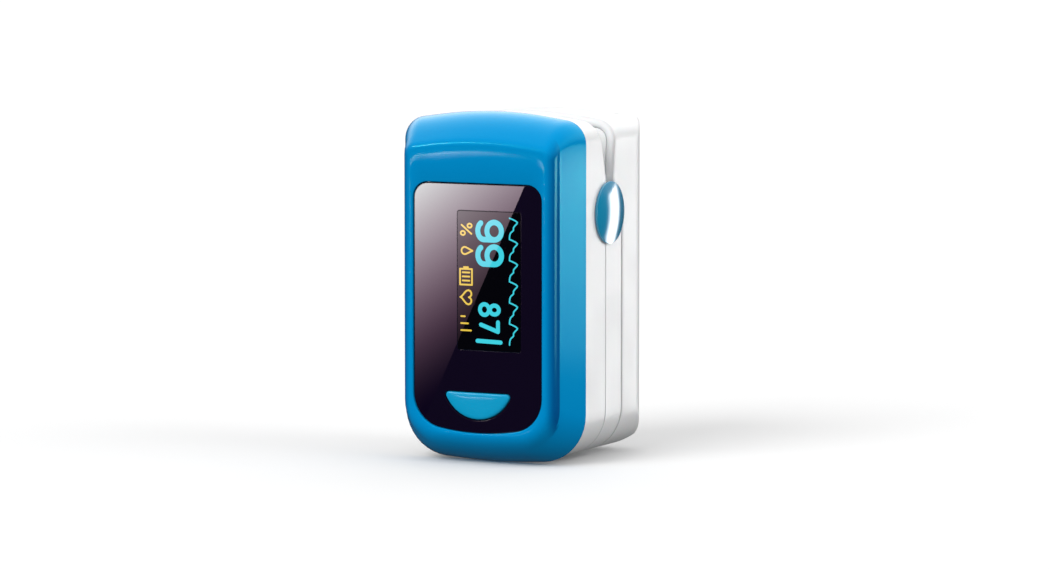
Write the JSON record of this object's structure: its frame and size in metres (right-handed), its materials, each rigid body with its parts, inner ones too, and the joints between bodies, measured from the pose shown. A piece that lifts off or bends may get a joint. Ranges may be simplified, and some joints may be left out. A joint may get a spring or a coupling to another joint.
{
  "type": "fingertip pulse oximeter",
  "caption": "Clip-on fingertip meter with a tinted display window, half-moon key, spring hinge, finger channel and sliding battery door.",
  "frame": {"origin": "bottom centre of the bounding box, at the finger end it stands on", "axes": "+X across the device, to the right seen from the display; +Y from the display towards the battery door; +Z along its length, from the finger end to the pinch end"},
  "size_m": [0.0364, 0.034, 0.0605],
  "materials": {
    "bezel_blue": "gloss",
    "shell_white": "gloss",
    "window_tint": "gloss",
    "key_blue": "gloss",
    "display_glass": "gloss",
    "frame_black": "matte",
    "board_green": "satin",
    "chip_black": "matte",
    "spring_steel": "satin",
    "plated_contact": "gloss",
    "soft_pad": "matte",
    "clear_lens": "gloss",
    "cell_sleeve": "gloss",
    "ribbon_amber": "satin"
  },
  "bodies": {
    "front_half": {"front_bezel": "bezel_blue", "display_window": "window_tint", "display_panel": "display_glass", "display_carrier": "frame_black", "main_board": "board_green", "processor_chip": "chip_black", "oscillator_can": "plated_contact", "board_components": "chip_black", "flex_connector": "frame_black", "emitter_led": "clear_lens", "key_switch": "frame_black", "front_housing": "shell_white", "front_tray": "shell_white", "emitter_lens": "clear_lens", "front_finger_pad": "soft_pad", "hinge_pin": "spring_steel", "hinge_cap_right": "key_blue", "hinge_cap_left": "key_blue", "front_screws": "spring_steel", "torsion_spring": "spring_steel", "flex_cable": "ribbon_amber"},
    "key": {"power_key": "key_blue", "switch_plunger": "frame_black"},
    "rear_half": {"rear_housing": "shell_white", "rear_tray": "shell_white", "rear_finger_pad": "soft_pad", "sensor_lens": "clear_lens", "photodiode": "chip_black", "sensor_board": "board_green", "battery_cell_right": "cell_sleeve", "battery_cell_left": "cell_sleeve", "contact_springs": "plated_contact", "contact_bridge": "plated_contact", "positive_contact": "plated_contact", "negative_contact": "plated_contact", "rear_screws": "spring_steel"},
    "door": {"battery_door": "shell_white"}
  },
  "joints": [
    {"name": "clip_hinge", "type": "hinge", "parent": "front_half", "child": "rear_half", "pos_m": [0, -0.0008, 0.043], "axis": [1, 0, 0], "range_deg": [0, 21], "stiffness_Nm_per_rad": 0.1, "springref_deg": -22.92, "deforming": ["torsion_spring", "flex_cable"]},
    {"name": "power_key_press", "type": "slide", "parent": "front_half", "child": "key", "axis": [0, 1, 0], "range_m": [0, 0.0002], "stiffness_N_per_m": 400, "springref_m": -0.001},
    {"name": "battery_door_slide", "type": "slide", "parent": "rear_half", "child": "door", "axis": [0, 0, 1], "range_m": [0, 0.053]}
  ]
}
